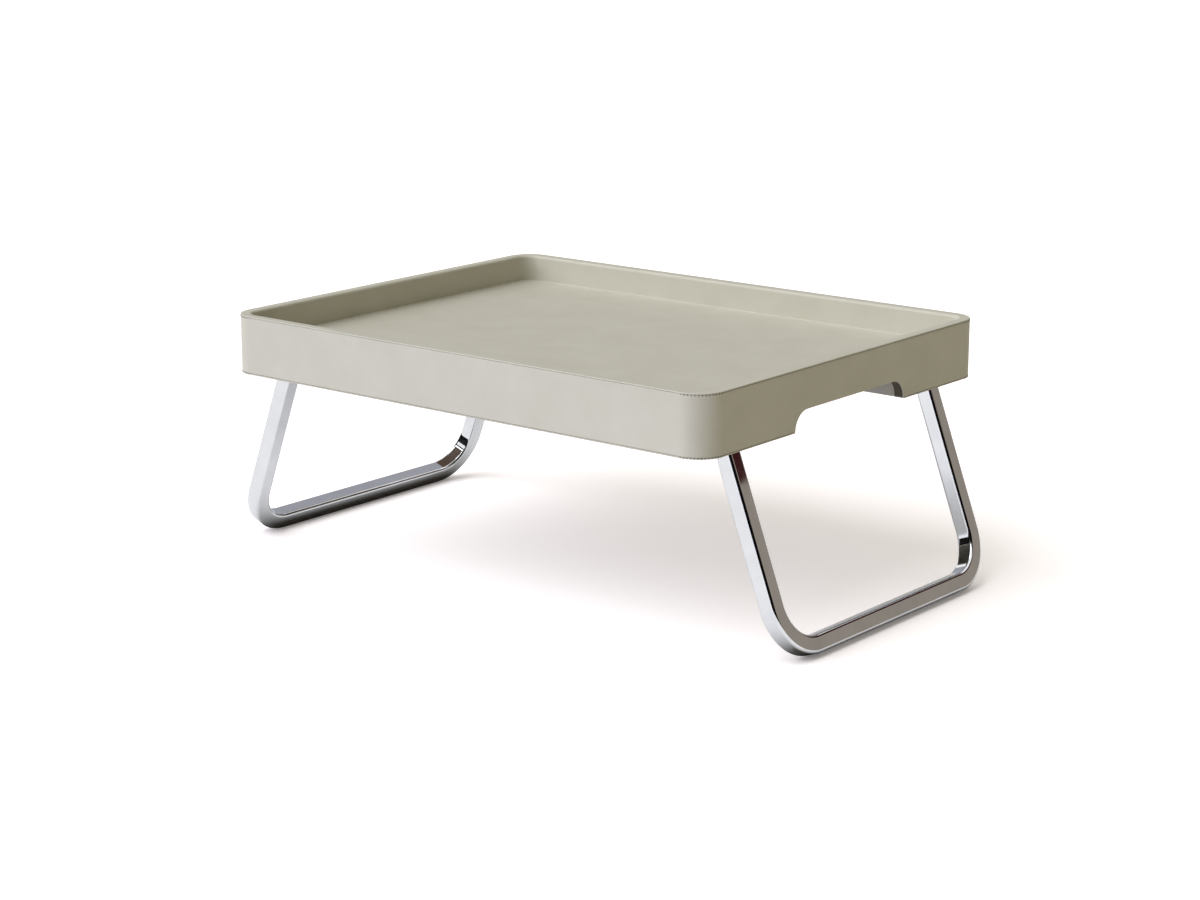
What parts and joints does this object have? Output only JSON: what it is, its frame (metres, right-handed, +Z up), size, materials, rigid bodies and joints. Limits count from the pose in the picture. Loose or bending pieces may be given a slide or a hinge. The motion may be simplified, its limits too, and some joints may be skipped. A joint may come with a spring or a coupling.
{
  "type": "bed tray",
  "caption": "Leather-covered bed tray with a raised rim, a handle notch in each short wall and square-tube U legs that fold flat under the floor.",
  "frame": {"origin": "on the ground under the middle of the tray, with both legs open", "axes": "+Z up, +X along the tray's length to the right-hand leg, +Y towards the back long wall"},
  "size_m": [0.7132, 0.464, 0.2562],
  "materials": {
    "leather": "fine-grained greige leather, satin",
    "edging": "dark brown painted leather edge, matte",
    "plywood": "sanded birch plywood",
    "felt": "dark brown felt",
    "chrome": "polished chrome plate on steel tube",
    "steel": "zinc-plated steel",
    "brass": "turned brass",
    "magnet": "nickel-plated magnet",
    "nylon": "moulded black nylon"
  },
  "bodies": {
    "tray": {"front_rail": "plywood", "back_rail": "plywood", "left_rail": "plywood", "right_rail": "plywood", "front_left_corner": "plywood", "back_left_corner": "plywood", "front_right_corner": "plywood", "back_right_corner": "plywood", "floor_panel": "plywood", "floor_leather": "leather", "outer_leather_band": "leather", "rim_leather": "leather", "skirt_lining": "leather", "underside_felt": "felt", "left_notch_edging": "edging", "right_notch_edging": "edging", "front_left_hinge_block": "leather", "back_left_hinge_block": "leather", "front_right_hinge_block": "leather", "back_right_hinge_block": "leather", "front_left_block_screw_near": "steel", "back_left_block_screw_near": "steel", "front_right_block_screw_near": "steel", "back_right_block_screw_near": "steel", "front_left_block_screw_far": "steel", "back_left_block_screw_far": "steel", "front_right_block_screw_far": "steel", "back_right_block_screw_far": "steel", "front_left_threaded_insert": "brass", "back_left_threaded_insert": "brass", "front_right_threaded_insert": "brass", "back_right_threaded_insert": "brass", "front_left_pivot_bolt": "steel", "back_left_pivot_bolt": "steel", "front_right_pivot_bolt": "steel", "back_right_pivot_bolt": "steel", "front_left_inner_washer": "nylon", "back_left_inner_washer": "nylon", "front_right_inner_washer": "nylon", "back_right_inner_washer": "nylon", "front_left_outer_washer": "nylon", "back_left_outer_washer": "nylon", "front_right_outer_washer": "nylon", "back_right_outer_washer": "nylon", "front_left_leg_stop": "nylon", "back_left_leg_stop": "nylon", "front_right_leg_stop": "nylon", "back_right_leg_stop": "nylon", "left_catch_plate": "nylon", "right_catch_plate": "nylon", "left_catch_magnet": "magnet", "right_catch_magnet": "magnet"},
    "left_leg_unit": {"left_leg": "chrome", "front_left_pivot_plug": "nylon", "back_left_pivot_plug": "nylon"},
    "right_leg_unit": {"right_leg": "chrome", "front_right_pivot_plug": "nylon", "back_right_pivot_plug": "nylon"}
  },
  "joints": [
    {"name": "left_leg_fold", "type": "hinge", "parent": "tray", "child": "left_leg_unit", "pos_m": [-0.2726, 0, 0.20689], "axis": [0, -1, 0], "range_deg": [0, 110.5]},
    {"name": "right_leg_fold", "type": "hinge", "parent": "tray", "child": "right_leg_unit", "pos_m": [0.2726, 0, 0.20689], "axis": [0, 1, 0], "range_deg": [0, 110.5]}
  ]
}
